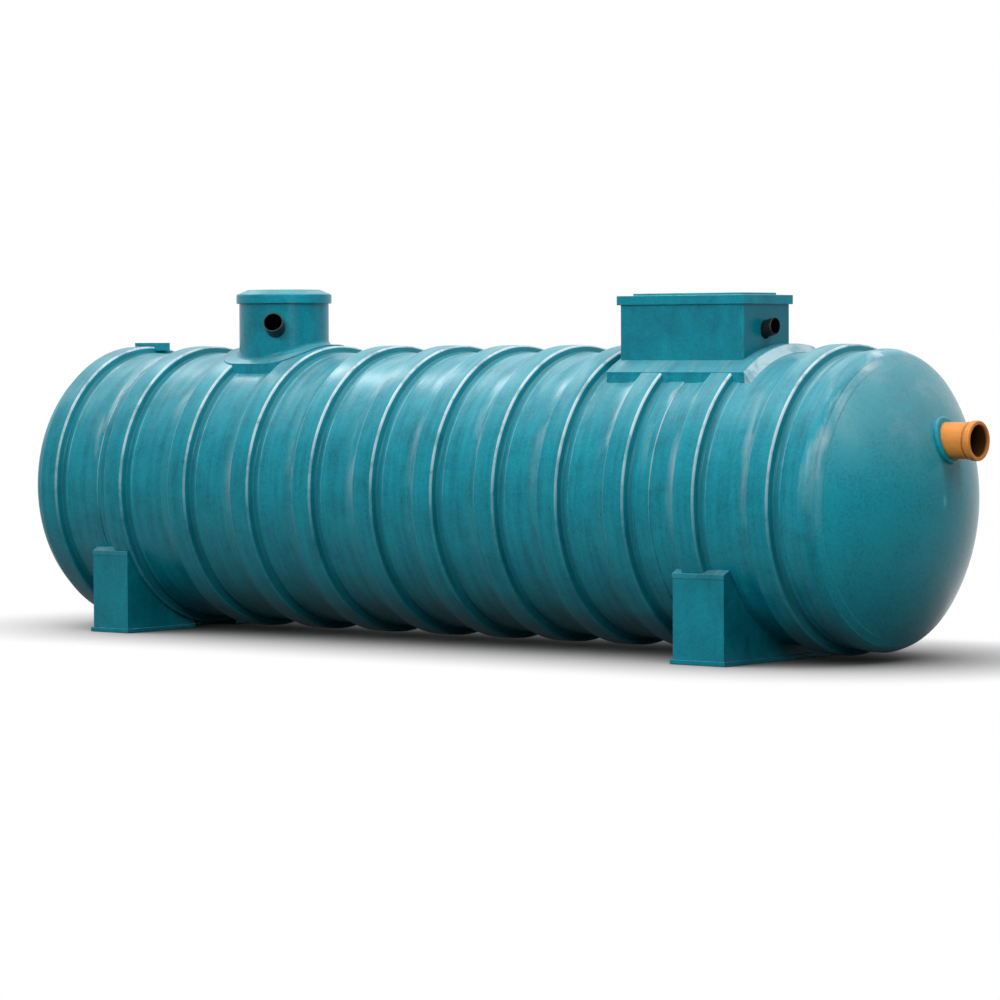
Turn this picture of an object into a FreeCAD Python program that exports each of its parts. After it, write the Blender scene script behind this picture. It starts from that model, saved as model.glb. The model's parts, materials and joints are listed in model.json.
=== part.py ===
import FreeCAD, Part
import math
import os

# Horizontal underground water tank of glass-fibre laminate, in millimetres.
# +X runs along the barrel towards the inlet end, the spigots and saddle fronts face -Y, +Z is up.
# The origin is on the floor, under the middle of the overall length.

# Barrel, in courses that meet under some of the ribs
BARREL_OD = 1500.0
BARREL_WALL = 10.0
FLOOR_GAP = 26.0
COURSE_JOINT_RIBS = (2, 5, 8, 11)

# Hoop ribs: an even pitch in the middle, and bays that widen one by one towards both ends
RIB_COUNT = 12
RIB_HEIGHT = 45.0
RIB_CROWN_WIDTH = 130.0
RIB_FLANK_RUN = 15.0
RIB_EDGE_RADIUS = 10.0
RIB_PITCH = 420.0
FAR_WIDE_BAYS = 5
FAR_BAY_STEP = 18.0
INLET_WIDE_BAYS = 3
INLET_BAY_STEP = 12.0

# Dished ends, whose skirts lap over the ends of the barrel
DOME_WALL = 15.0
KNUCKLE_RADIUS = 76.0
CROWN_RADIUS = 1130.0
FAR_TANGENT_TO_RIB = 77.0
RIB_TO_INLET_TANGENT = 256.0
SKIRT_LAP = 25.0

# Laminated bands
JOINT_BAND_WIDTH = 95.0
JOINT_BAND_HEIGHT = 5.0
LAP_BAND_WIDTH = 105.0
LAP_BAND_HEIGHT = 6.0
FAR_LAP_GAP = 67.0
INLET_LAP_GAP = 154.0

# Inlet socket, above the axis and towards the back, and the collar laminated round it
INLET_RISE = 306.0
INLET_OFFSET = 100.0
INLET_REACH = 147.0
INLET_OD = 186.0
INLET_SOCKET_BORE = 161.0
INLET_SOCKET_DEPTH = 120.0
INLET_PIPE_BORE = 150.0
INLET_BEAD_OD = 204.0
INLET_BEAD_LENGTH = 34.0
INLET_BEAD_SLOPE = 9.0
INLET_TAIL = 110.0
COLLAR_OD = 246.0
COLLAR_STAND = 20.0
COLLAR_EDGE_RADIUS = 14.0

# Round turret, placed from the rib on its far side
ROUND_RIB = 3
ROUND_FROM_RIB = 197.0
ROUND_OFFSET = 100.0
NECK_OD = 504.0
NECK_WALL = 8.0
NECK_RISE = 271.0
NECK_FLARE_RADIUS = 32.0
NECK_FRONT_WIDTH = 220.0
MANHOLE_BORE = 350.0
ROUND_PAD_SIZE = 590.0
ROUND_PAD_CORNER = 185.0
ROUND_PAD_PROUD = 6.0
ROUND_LID_OD = 536.0
ROUND_LID_SKIRT = 34.0
ROUND_LID_PLATE = 22.0
ROUND_LID_SHOULDER = 8.0
ROUND_LID_PANEL_OD = 410.0
ROUND_LID_PANEL_HEIGHT = 22.0
ROUND_LID_PANEL_SLOPE = 50.0
LID_CLEARANCE = 2.0

# Both spigots point upwards a little and end a short way inside their walls
SPIGOT_TILT = 22.0
SPIGOT_TAIL = 24.0

# Spigot on the round turret
ROUND_SPIGOT_OD = 110.0
ROUND_SPIGOT_BORE = 100.0
ROUND_SPIGOT_DROP = 166.0
ROUND_SPIGOT_TURN = 31.0
ROUND_SPIGOT_REACH = 74.0

# Box turret, placed from the rib under it
BOX_RIB = 10
BOX_FROM_RIB = 116.0
BOX_OFFSET = 150.0
BOX_LENGTH = 790.0
BOX_WIDTH = 410.0
BOX_WALL = 8.0
BOX_RISE = 240.0
BOX_CORNER_RADIUS = 12.0
BOX_OPENING_LENGTH = 560.0
BOX_OPENING_LEDGE = 20.0
BOX_PAD_LENGTH = 880.0
BOX_PAD_SHIFT = 35.0
BOX_PAD_FRONT = 455.0
BOX_PAD_BACK = 155.0
BOX_PAD_SLOPE = 30.0
BOX_LID_OVERHANG = 13.0
BOX_LID_SKIRT = 36.0
BOX_LID_PLATE = 12.0
BOX_LID_PANEL_INSET = 62.0
BOX_LID_PANEL_HEIGHT = 12.0
BOX_LID_EDGE_RADIUS = 5.0

# Spigot on the box turret
BOX_SPIGOT_OD = 90.0
BOX_SPIGOT_BORE = 82.0
BOX_SPIGOT_DROP = 165.0
BOX_SPIGOT_SHIFT = 9.0
BOX_SPIGOT_REACH = 54.0

# Crown boss over the first rib, towards the back
BOSS_LENGTH = 186.0
BOSS_WIDTH = 100.0
BOSS_OFFSET = 75.0
BOSS_HEIGHT = 20.0
BOSS_LIP = 25.0

# Saddles, each placed from the rib that it carries
FAR_SADDLE_RIB = 2
FAR_SADDLE_FROM_RIB = -92.0
FAR_SADDLE_WIDTH = 270.0
INLET_SADDLE_RIB = 11
INLET_SADDLE_FROM_RIB = 43.0
INLET_SADDLE_WIDTH = 320.0
SADDLE_SIDE_INSET = 35.0
SADDLE_TOP_DROP = 373.0
SADDLE_RELIEF_LENGTH = 340.0
SADDLE_BASE_HEIGHT = 25.0
SADDLE_BASE_OVERHANG = 12.0
SADDLE_CAP_THICKNESS = 12.0
SADDLE_CAP_RISE = 26.0
SADDLE_CAP_OVERHANG = 3.0

# How near an edge's measured size has to be to count as the one looked for
EDGE_TOLERANCE = 0.5

# Radii, heights and stations worked out from the driving sizes
BARREL_R = BARREL_OD / 2
RIB_R = BARREL_R + RIB_HEIGHT
DOME_R = BARREL_R + DOME_WALL
AXIS_HEIGHT = RIB_R + FLOOR_GAP
ROUND_PAD_R = RIB_R + ROUND_PAD_PROUD
RIB_FOOT_HALF = RIB_CROWN_WIDTH / 2 + RIB_FLANK_RUN
NECK_TOP = RIB_R + NECK_RISE
BOX_TOP = RIB_R + BOX_RISE
SADDLE_DEPTH = BARREL_OD - 2 * SADDLE_SIDE_INSET
SADDLE_FRONT_HEIGHT = AXIS_HEIGHT - SADDLE_TOP_DROP


def crown_depth(wall):
    """Depth of a dished end from its tangent line to its apex, at a depth of wall inside the skin."""
    crown = CROWN_RADIUS - wall
    knuckle = KNUCKLE_RADIUS - wall
    reach = DOME_R - KNUCKLE_RADIUS
    return crown - math.sqrt((crown - knuckle) ** 2 - reach ** 2)


def rib_stations():
    """Distances of the ribs' middles from the first rib."""
    stations = [0.0]
    for bay in range(1, RIB_COUNT):
        far_steps = max(0, FAR_WIDE_BAYS + 1 - bay)
        inlet_steps = max(0, bay - (RIB_COUNT - 1 - INLET_WIDE_BAYS))
        widening = far_steps * FAR_BAY_STEP + inlet_steps * INLET_BAY_STEP
        stations.append(stations[-1] + RIB_PITCH + widening)
    return stations


STATIONS = rib_stations()
SPAN_TO_FAR_APEX = FAR_TANGENT_TO_RIB + crown_depth(0.0)
SPAN_TO_MOUTH = STATIONS[-1] + RIB_TO_INLET_TANGENT + crown_depth(0.0) + INLET_REACH
FIRST_RIB_X = (SPAN_TO_FAR_APEX - SPAN_TO_MOUTH) / 2
RIB_X = [FIRST_RIB_X + station for station in STATIONS]
FAR_TANGENT_X = RIB_X[0] - FAR_TANGENT_TO_RIB
INLET_TANGENT_X = RIB_X[-1] + RIB_TO_INLET_TANGENT
FAR_SKIRT_X = FAR_TANGENT_X + SKIRT_LAP
INLET_SKIRT_X = INLET_TANGENT_X - SKIRT_LAP
INLET_APEX_X = INLET_TANGENT_X + crown_depth(0.0)
INLET_MOUTH_X = INLET_APEX_X + INLET_REACH
ROUND_X = RIB_X[ROUND_RIB - 1] + ROUND_FROM_RIB
BOX_X = RIB_X[BOX_RIB - 1] + BOX_FROM_RIB
FAR_SADDLE_X = RIB_X[FAR_SADDLE_RIB - 1] + FAR_SADDLE_FROM_RIB
INLET_SADDLE_X = RIB_X[INLET_SADDLE_RIB - 1] + INLET_SADDLE_FROM_RIB

AXIS = FreeCAD.Vector(0, 0, AXIS_HEIGHT)
ALONG = FreeCAD.Vector(1, 0, 0)
UP = FreeCAD.Vector(0, 0, 1)
ROUND_CENTRE = FreeCAD.Vector(ROUND_X, -ROUND_OFFSET, AXIS_HEIGHT)
BOX_CENTRE = FreeCAD.Vector(BOX_X, -BOX_OFFSET, AXIS_HEIGHT)
INLET_AXIS = FreeCAD.Vector(0, INLET_OFFSET, AXIS_HEIGHT + INLET_RISE)


def lathe(edges, centre, axis):
    """Turn a closed outline of edges about an axis into a solid."""
    face = Part.Face(Part.Wire(edges))
    return face.revolve(centre, axis, 360)


def outline(points):
    """Straight edges round a list of points, closed."""
    closed = points + points[:1]
    return [Part.LineSegment(a, b).toShape() for a, b in zip(closed, closed[1:])]


def along_profile(pairs, centre):
    """Points of a profile given as distance along X and radius from a line through centre."""
    return [FreeCAD.Vector(x, centre.y, centre.z + radius) for x, radius in pairs]


def drum(x_start, x_end, radius, centre=AXIS):
    """Solid cylinder along X."""
    base = FreeCAD.Vector(x_start, centre.y, centre.z)
    return Part.makeCylinder(radius, x_end - x_start, base, ALONG)


def upright(centre, radius, low, high):
    """Solid upright cylinder between two heights over the barrel's axis."""
    base = FreeCAD.Vector(centre.x, centre.y, AXIS_HEIGHT + low)
    return Part.makeCylinder(radius, high - low, base, UP)


def block(centre, length, width, low, high):
    """Upright block round a centre, between two heights over the barrel's axis."""
    corner = FreeCAD.Vector(centre.x - length / 2, centre.y - width / 2, AXIS_HEIGHT + low)
    return Part.makeBox(length, width, high - low, corner)


def upright_edges(shape):
    """The edges of a shape that run straight up."""
    return [edge for edge in shape.Edges
            if abs(edge.BoundBox.ZLength - edge.Length) < EDGE_TOLERANCE]


def barrel_core():
    """The barrel as a full cylinder, longer than the tank, for trimming what seats on it."""
    return drum(FAR_TANGENT_X - BARREL_OD, INLET_TANGENT_X + BARREL_OD, BARREL_R)


def access_openings():
    """The two access openings through the crown, under the round and the box turret."""
    round_hole = upright(ROUND_CENTRE, MANHOLE_BORE / 2, 0, ROUND_PAD_R + NECK_OD)
    lip = BOX_WALL + BOX_OPENING_LEDGE
    middle_x = BOX_X - BOX_LENGTH / 2 + lip + BOX_OPENING_LENGTH / 2
    middle = FreeCAD.Vector(middle_x, BOX_CENTRE.y, AXIS_HEIGHT)
    box_hole = block(middle, BOX_OPENING_LENGTH, BOX_WIDTH - 2 * lip, 0, RIB_R + BOX_WIDTH)
    return round_hole.fuse(box_hole)


def barrel_courses():
    """Short tubes that meet under ribs and run into the skirts of the dished ends."""
    joints = [RIB_X[number - 1] for number in COURSE_JOINT_RIBS]
    ends = [FAR_TANGENT_X] + joints + [INLET_TANGENT_X]
    openings = access_openings()
    courses = []
    for x_start, x_end in zip(ends, ends[1:]):
        outer = drum(x_start, x_end, BARREL_R)
        inner = drum(x_start, x_end, BARREL_R - BARREL_WALL)
        courses.append(outer.cut(inner).cut(openings))
    return courses


def rib_ring(x):
    """Hoop rib with a flat crown, steep flanks and rounded crown edges."""
    half = RIB_CROWN_WIDTH / 2
    pairs = [
        (x - RIB_FOOT_HALF, BARREL_R),
        (x - half, RIB_R),
        (x + half, RIB_R),
        (x + RIB_FOOT_HALF, BARREL_R),
    ]
    ring = lathe(outline(along_profile(pairs, AXIS)), AXIS, ALONG)
    crown_edges = [edge for edge in ring.Edges
                   if abs(edge.BoundBox.ZLength - 2 * RIB_R) < EDGE_TOLERANCE]
    return ring.makeFillet(RIB_EDGE_RADIUS, crown_edges)


def dished_outline(x_joint, x_tangent, wall, side):
    """Edges of a dished end's skin at a depth of wall, from the skirt's edge to the apex."""
    radius = DOME_R - wall
    crown = CROWN_RADIUS - wall
    knuckle = KNUCKLE_RADIUS - wall
    sweep = math.asin((DOME_R - KNUCKLE_RADIUS) / (crown - knuckle))
    apex_x = crown_depth(wall)

    def point(reach, height):
        return FreeCAD.Vector(x_tangent + side * reach, 0, AXIS_HEIGHT + height)

    def on_knuckle(angle):
        return point(knuckle * math.cos(angle), radius - knuckle + knuckle * math.sin(angle))

    def on_crown(angle):
        return point(apex_x - crown + crown * math.cos(angle), crown * math.sin(angle))

    start = FreeCAD.Vector(x_joint, 0, AXIS_HEIGHT + radius)
    skirt = Part.LineSegment(start, point(0, radius)).toShape()
    middle = (math.pi / 2 + sweep) / 2
    knuckle_arc = Part.Arc(point(0, radius), on_knuckle(middle), on_knuckle(sweep)).toShape()
    crown_arc = Part.Arc(on_knuckle(sweep), on_crown(sweep / 2), on_crown(0)).toShape()
    return [skirt, knuckle_arc, crown_arc], start, on_crown(0)


def dished_solid(x_joint, x_tangent, wall, side):
    """A dished end filled up to the plane of its skirt's edge."""
    edges, start, apex = dished_outline(x_joint, x_tangent, wall, side)
    foot = FreeCAD.Vector(x_joint, 0, AXIS_HEIGHT)
    edges.append(Part.LineSegment(apex, foot).toShape())
    edges.append(Part.LineSegment(foot, start).toShape())
    return lathe(edges, AXIS, ALONG)


def dished_end(x_joint, x_tangent, side):
    outer = dished_solid(x_joint, x_tangent, 0.0, side)
    return outer.cut(dished_solid(x_joint, x_tangent, DOME_WALL, side))


def far_end_dome():
    return dished_end(FAR_SKIRT_X, FAR_TANGENT_X, -1)


def inlet_end_dome():
    hole = drum(INLET_TANGENT_X, INLET_MOUTH_X, INLET_OD / 2, INLET_AXIS)
    return dished_end(INLET_SKIRT_X, INLET_TANGENT_X, 1).cut(hole)


def band(x_start, x_end, height):
    """Laminated band round the barrel."""
    return drum(x_start, x_end, BARREL_R + height).cut(drum(x_start, x_end, BARREL_R))


def dome_joint_band():
    """Wrapper on the barrel up to the edge of the inlet end's skirt."""
    return band(INLET_SKIRT_X - JOINT_BAND_WIDTH, INLET_SKIRT_X, JOINT_BAND_HEIGHT)


def lap_band(rib_number, gap):
    """Wrapper near a saddle that ends a gap before the foot of its rib."""
    x_end = RIB_X[rib_number - 1] - RIB_FOOT_HALF - gap
    return band(x_end - LAP_BAND_WIDTH, x_end, LAP_BAND_HEIGHT)


def inlet_socket():
    """Socket pipe with a thick mouth bead, stepped down inside to the pipe's own bore."""
    tail_x = INLET_APEX_X - INLET_TAIL
    bead_x = INLET_MOUTH_X - INLET_BEAD_LENGTH
    stop_x = INLET_MOUTH_X - INLET_SOCKET_DEPTH
    pairs = [
        (tail_x, INLET_PIPE_BORE / 2),
        (tail_x, INLET_OD / 2),
        (bead_x - INLET_BEAD_SLOPE, INLET_OD / 2),
        (bead_x, INLET_BEAD_OD / 2),
        (INLET_MOUTH_X, INLET_BEAD_OD / 2),
        (INLET_MOUTH_X, INLET_SOCKET_BORE / 2),
        (stop_x, INLET_SOCKET_BORE / 2),
        (stop_x, INLET_PIPE_BORE / 2),
    ]
    return lathe(outline(along_profile(pairs, INLET_AXIS)), INLET_AXIS, ALONG)


def inlet_collar():
    """Round-edged collar square to the dished end where the socket pipe leaves it."""
    depth = math.sqrt(CROWN_RADIUS ** 2 - INLET_OFFSET ** 2 - INLET_RISE ** 2)
    outward = FreeCAD.Vector(depth, INLET_OFFSET, INLET_RISE) / CROWN_RADIUS
    crown_centre = AXIS + ALONG * (INLET_APEX_X - CROWN_RADIUS)
    front = crown_centre + outward * (CROWN_RADIUS + COLLAR_STAND)
    root = front - outward * COLLAR_OD / 2
    slab = Part.makeCylinder(COLLAR_OD / 2, COLLAR_OD / 2, root, outward)
    rim = [edge for edge in slab.Edges if (edge.CenterOfMass - front).Length < EDGE_TOLERANCE]
    slab = slab.makeFillet(COLLAR_EDGE_RADIUS, rim)
    slab = slab.cut(drum(INLET_TANGENT_X, INLET_MOUTH_X, INLET_OD / 2, INLET_AXIS))
    return slab.cut(dished_solid(INLET_SKIRT_X, INLET_TANGENT_X, 0.0, 1))


def seat_ribs(shape, ribs):
    """Trim a piece so that it seats on the barrel and between or over the ribs."""
    shape = shape.cut(barrel_core())
    for ring in ribs:
        shape = shape.cut(ring)
    return shape


def round_turret_pad(ribs):
    plate = block(ROUND_CENTRE, ROUND_PAD_SIZE, ROUND_PAD_SIZE, 0, ROUND_PAD_R)
    plate = plate.makeFillet(ROUND_PAD_CORNER, upright_edges(plate))
    plate = plate.common(drum(RIB_X[0], RIB_X[-1], ROUND_PAD_R))
    return seat_ribs(plate, ribs).cut(access_openings())


def neck_tube():
    """The whole wall of the round neck, holed for its spigot."""
    outer = upright(ROUND_CENTRE, NECK_OD / 2, 0, NECK_TOP)
    inner = upright(ROUND_CENTRE, NECK_OD / 2 - NECK_WALL, 0, NECK_TOP)
    tube = outer.cut(inner).cut(drum(RIB_X[0], RIB_X[-1], ROUND_PAD_R))
    return tube.cut(round_spigot_body(ROUND_SPIGOT_OD))


def neck_front():
    """Upright slice of the round neck that takes in the wall round its spigot."""
    middle = ROUND_CENTRE - FreeCAD.Vector(0, NECK_OD / 2, 0)
    strip = block(middle, NECK_FRONT_WIDTH, NECK_OD, 0, NECK_TOP)
    return strip.rotate(ROUND_CENTRE, UP, ROUND_SPIGOT_TURN)


def round_turret_neck():
    return neck_tube().cut(neck_front())


def round_turret_front():
    """The neck's wall segment that carries the spigot."""
    return neck_tube().common(neck_front())


def round_turret_flare():
    """Concave fillet of resin between the round pad and the neck."""
    neck = upright(ROUND_CENTRE, NECK_OD / 2, 0, NECK_TOP)
    bed = block(ROUND_CENTRE, NECK_OD * 2, NECK_OD * 2, 0, NECK_TOP)
    bed = bed.common(drum(RIB_X[0], RIB_X[-1], ROUND_PAD_R))
    joined = bed.fuse(neck)
    under_top = AXIS_HEIGHT + NECK_TOP - EDGE_TOLERANCE
    seam = [edge for edge in joined.Edges
            if abs(edge.BoundBox.XLength - NECK_OD) < EDGE_TOLERANCE and edge.BoundBox.ZMax < under_top]
    filled = joined.makeFillet(NECK_FLARE_RADIUS, seam)
    return filled.cut(neck).cut(bed)


def round_turret_lid():
    """Cap with a skirt that hangs over the neck and a raised middle."""
    skirt_inner = NECK_OD / 2 + LID_CLEARANCE
    outer = ROUND_LID_OD / 2
    panel = ROUND_LID_PANEL_OD / 2
    low = NECK_TOP - ROUND_LID_SKIRT
    plate_top = NECK_TOP + ROUND_LID_PLATE
    top = plate_top + ROUND_LID_PANEL_HEIGHT
    pairs = [
        (0, NECK_TOP),
        (skirt_inner, NECK_TOP),
        (skirt_inner, low),
        (outer, low),
        (outer, plate_top - ROUND_LID_SHOULDER),
        (outer - ROUND_LID_SHOULDER, plate_top),
        (panel + ROUND_LID_PANEL_SLOPE, plate_top),
        (panel, top),
        (0, top),
    ]
    points = [ROUND_CENTRE + FreeCAD.Vector(radius, 0, height) for radius, height in pairs]
    return lathe(outline(points), ROUND_CENTRE, UP)


def tilted_pipe(root, level, diameter, wall, reach):
    """Cylinder that tilts up from a root on a wall's outside, with its tail behind the wall."""
    tilt = math.radians(SPIGOT_TILT)
    outward = level * math.cos(tilt) + UP * math.sin(tilt)
    tail = wall + SPIGOT_TAIL
    return Part.makeCylinder(diameter / 2, tail + reach, root - outward * tail, outward)


def round_spigot_body(diameter):
    """Cylinder along the round turret's spigot, from inside the neck to the mouth."""
    turn = math.radians(ROUND_SPIGOT_TURN)
    level = FreeCAD.Vector(math.sin(turn), -math.cos(turn), 0)
    root = ROUND_CENTRE + level * (NECK_OD / 2) + UP * (NECK_TOP - ROUND_SPIGOT_DROP)
    return tilted_pipe(root, level, diameter, NECK_WALL, ROUND_SPIGOT_REACH)


def round_turret_spigot():
    return round_spigot_body(ROUND_SPIGOT_OD).cut(round_spigot_body(ROUND_SPIGOT_BORE))


def box_turret_pad(ribs):
    """Raised bed flush with the rib crowns, in blocks between the ribs, with a sloped inlet end."""
    x_low = BOX_X + BOX_PAD_SHIFT - BOX_PAD_LENGTH / 2
    x_high = x_low + BOX_PAD_LENGTH
    x_foot = x_high + BOX_PAD_SLOPE
    pairs = [(x_low, BARREL_R), (x_low, RIB_R), (x_high, RIB_R), (x_foot, BARREL_R)]
    ring = lathe(outline(along_profile(pairs, AXIS)), AXIS, ALONG)
    middle = FreeCAD.Vector((x_low + x_foot) / 2, (BOX_PAD_BACK - BOX_PAD_FRONT) / 2, 0)
    bed = ring.common(block(middle, x_foot - x_low, BOX_PAD_FRONT + BOX_PAD_BACK, 0, RIB_R))
    return seat_ribs(bed, ribs).cut(access_openings())


def box_walls():
    """The four walls of the box, seated on the rib crowns and holed for the spigot."""
    outer = block(BOX_CENTRE, BOX_LENGTH, BOX_WIDTH, 0, BOX_TOP)
    outer = outer.makeFillet(BOX_CORNER_RADIUS, upright_edges(outer))
    inner = block(BOX_CENTRE, BOX_LENGTH - 2 * BOX_WALL, BOX_WIDTH - 2 * BOX_WALL, 0, BOX_TOP)
    walls = outer.cut(inner).cut(drum(RIB_X[0], RIB_X[-1], RIB_R))
    return walls.cut(box_spigot_body(BOX_SPIGOT_OD))


def box_end():
    """Upright slice that takes in the flat of the box's inlet end, between its corners."""
    middle = BOX_CENTRE + FreeCAD.Vector((BOX_LENGTH - BOX_WALL) / 2, 0, 0)
    return block(middle, BOX_WALL, BOX_WIDTH - 2 * BOX_CORNER_RADIUS, 0, BOX_TOP)


def box_turret_housing():
    return box_walls().cut(box_end())


def box_turret_end_wall():
    """The box's end wall that carries the spigot."""
    return box_walls().common(box_end())


def box_turret_lid():
    """Cap with a skirt round the housing and a raised panel."""
    length = BOX_LENGTH + 2 * BOX_LID_OVERHANG
    width = BOX_WIDTH + 2 * BOX_LID_OVERHANG
    low = BOX_TOP - BOX_LID_SKIRT
    plate_top = BOX_TOP + BOX_LID_PLATE
    cap = block(BOX_CENTRE, length, width, low, plate_top)
    cap = cap.makeFillet(BOX_LID_EDGE_RADIUS, upright_edges(cap))
    gap = 2 * LID_CLEARANCE
    cap = cap.cut(block(BOX_CENTRE, BOX_LENGTH + gap, BOX_WIDTH + gap, low, BOX_TOP))
    panel_length = length - 2 * BOX_LID_PANEL_INSET
    panel_width = width - 2 * BOX_LID_PANEL_INSET
    panel = block(BOX_CENTRE, panel_length, panel_width, BOX_TOP, plate_top + BOX_LID_PANEL_HEIGHT)
    return cap.fuse(panel).removeSplitter()


def box_spigot_body(diameter):
    """Cylinder along the box turret's spigot, from inside the end wall to the mouth."""
    from_centre = FreeCAD.Vector(BOX_LENGTH / 2, -BOX_SPIGOT_SHIFT, BOX_TOP - BOX_SPIGOT_DROP)
    return tilted_pipe(BOX_CENTRE + from_centre, ALONG, diameter, BOX_WALL, BOX_SPIGOT_REACH)


def box_turret_spigot():
    return box_spigot_body(BOX_SPIGOT_OD).cut(box_spigot_body(BOX_SPIGOT_BORE))


def crown_boss(ribs):
    """Block that caps the crown of the first rib and laps a little over its flanks."""
    centre = FreeCAD.Vector(RIB_X[0], BOSS_OFFSET, 0)
    body = block(centre, BOSS_LENGTH, BOSS_WIDTH, RIB_R - BOSS_LIP, RIB_R + BOSS_HEIGHT)
    return seat_ribs(body, ribs)


def saddle_section(x_middle, width, half_depth, low, front_height, back_height, back_reach):
    """Block across the tank whose top slopes up from front and back edges towards the barrel."""
    x_low = x_middle - width / 2
    points = [
        FreeCAD.Vector(x_low, -half_depth, low),
        FreeCAD.Vector(x_low, -half_depth, front_height),
        FreeCAD.Vector(x_low, -back_reach, back_height),
        FreeCAD.Vector(x_low, back_reach, back_height),
        FreeCAD.Vector(x_low, half_depth, front_height),
        FreeCAD.Vector(x_low, half_depth, low),
    ]
    face = Part.Face(Part.Wire(outline(points)))
    return face.extrude(FreeCAD.Vector(width, 0, 0))


def saddle_shoulder():
    """Height and reach of the line where a saddle's sloped top meets the barrel."""
    height = SADDLE_FRONT_HEIGHT + SADDLE_CAP_RISE
    reach = math.sqrt(BARREL_R ** 2 - (AXIS_HEIGHT - height) ** 2)
    return height, reach


def rib_relief(rib_number):
    """Slot through a saddle and its base under the lowest stretch of the rib."""
    centre = FreeCAD.Vector(RIB_X[rib_number - 1], 0, 0)
    return block(centre, 2 * RIB_FOOT_HALF, SADDLE_RELIEF_LENGTH, -AXIS_HEIGHT, 0)


def saddle(x_middle, width, seats):
    height, reach = saddle_shoulder()
    half = SADDLE_DEPTH / 2
    body = saddle_section(x_middle, width, half, SADDLE_BASE_HEIGHT, SADDLE_FRONT_HEIGHT, height, reach)
    return seat_ribs(body, seats)


def saddle_caps(x_middle, width, seats):
    """Thin cap plates on the two shoulders of a saddle, notched by the rib."""
    height, reach = saddle_shoulder()
    wide = width + 2 * SADDLE_CAP_OVERHANG
    half = SADDLE_DEPTH / 2
    front = SADDLE_FRONT_HEIGHT
    thick = SADDLE_CAP_THICKNESS
    plates = saddle_section(x_middle, wide, half + SADDLE_CAP_OVERHANG, front - thick, front + thick,
                            height + thick, reach)
    body = saddle_section(x_middle, wide, half, SADDLE_BASE_HEIGHT, front, height, reach)
    return seat_ribs(plates.cut(body), seats)


def saddle_base(x_middle, width, seats):
    """Flange under a saddle, grooved where the rib dips into it."""
    centre = FreeCAD.Vector(x_middle, 0, 0)
    over = 2 * SADDLE_BASE_OVERHANG
    plate = block(centre, width + over, SADDLE_DEPTH + over, -AXIS_HEIGHT, SADDLE_BASE_HEIGHT - AXIS_HEIGHT)
    return seat_ribs(plate, seats)


def build():
    """All the tank's pieces by name."""
    rings = [rib_ring(x) for x in RIB_X]
    far_lap_band = lap_band(FAR_SADDLE_RIB, FAR_LAP_GAP)
    inlet_lap_band = lap_band(INLET_SADDLE_RIB, INLET_LAP_GAP)
    seats = rings + [far_lap_band, inlet_lap_band]
    far_end = dished_solid(FAR_SKIRT_X, FAR_TANGENT_X, 0.0, -1)
    openings = access_openings()
    pieces = {
        "far_end_dome": far_end_dome(),
        "inlet_end_dome": inlet_end_dome(),
        "far_lap_band": far_lap_band,
        "inlet_lap_band": inlet_lap_band,
        "dome_joint_band": dome_joint_band(),
        "inlet_socket": inlet_socket(),
        "inlet_collar": inlet_collar(),
        "round_turret_pad": round_turret_pad(rings),
        "round_turret_flare": round_turret_flare(),
        "round_turret_neck": round_turret_neck(),
        "round_turret_front": round_turret_front(),
        "round_turret_lid": round_turret_lid(),
        "round_turret_spigot": round_turret_spigot(),
        "box_turret_pad": box_turret_pad(seats),
        "box_turret_housing": box_turret_housing(),
        "box_turret_end_wall": box_turret_end_wall(),
        "box_turret_lid": box_turret_lid(),
        "box_turret_spigot": box_turret_spigot(),
        "crown_boss": crown_boss(rings),
    }
    for number, course in enumerate(barrel_courses(), start=1):
        pieces[f"barrel_course_{number}"] = course
    for number, ring in enumerate(rings, start=1):
        pieces[f"hoop_rib_{number:02d}"] = ring.cut(openings).cut(far_end)
    saddles = {
        "far": (FAR_SADDLE_X, FAR_SADDLE_WIDTH, FAR_SADDLE_RIB),
        "inlet": (INLET_SADDLE_X, INLET_SADDLE_WIDTH, INLET_SADDLE_RIB),
    }
    for place, (x_middle, width, rib_number) in saddles.items():
        relief = rib_relief(rib_number)
        pieces[f"{place}_saddle"] = saddle(x_middle, width, seats).cut(relief)
        pieces[f"{place}_saddle_caps"] = saddle_caps(x_middle, width, seats)
        pieces[f"{place}_saddle_base"] = saddle_base(x_middle, width, seats).cut(relief)
    return pieces


def main():
    os.makedirs("parts", exist_ok=True)
    for name, shape in build().items():
        shape.exportStep(f"parts/{name}.step")
        print(name, len(shape.Solids), shape.isValid(), round(shape.Volume / 1e9, 5))


main()
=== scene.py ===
"""Ribbed laminate water tank: skins, ribs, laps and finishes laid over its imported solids."""

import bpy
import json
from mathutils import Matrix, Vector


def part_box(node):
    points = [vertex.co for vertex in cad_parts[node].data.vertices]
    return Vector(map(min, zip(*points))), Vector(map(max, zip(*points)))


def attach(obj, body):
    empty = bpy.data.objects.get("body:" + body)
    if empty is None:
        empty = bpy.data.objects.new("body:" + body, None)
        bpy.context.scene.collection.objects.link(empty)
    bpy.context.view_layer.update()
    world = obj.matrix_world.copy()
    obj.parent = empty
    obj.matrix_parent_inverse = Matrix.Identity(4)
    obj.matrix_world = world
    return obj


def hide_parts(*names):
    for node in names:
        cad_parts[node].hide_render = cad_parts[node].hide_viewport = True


bl_info = {
    "name": "Ribbed Laminate Water Tank",
    "version": (1, 0, 0),
    "blender": (4, 5, 0),
    "location": "3D View > Sidebar > Water Tank",
    "description": "Lays skins, ribs, laps and finishes over the solids of a buried water tank",
    "category": "Object",
}

import json
import math

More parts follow.
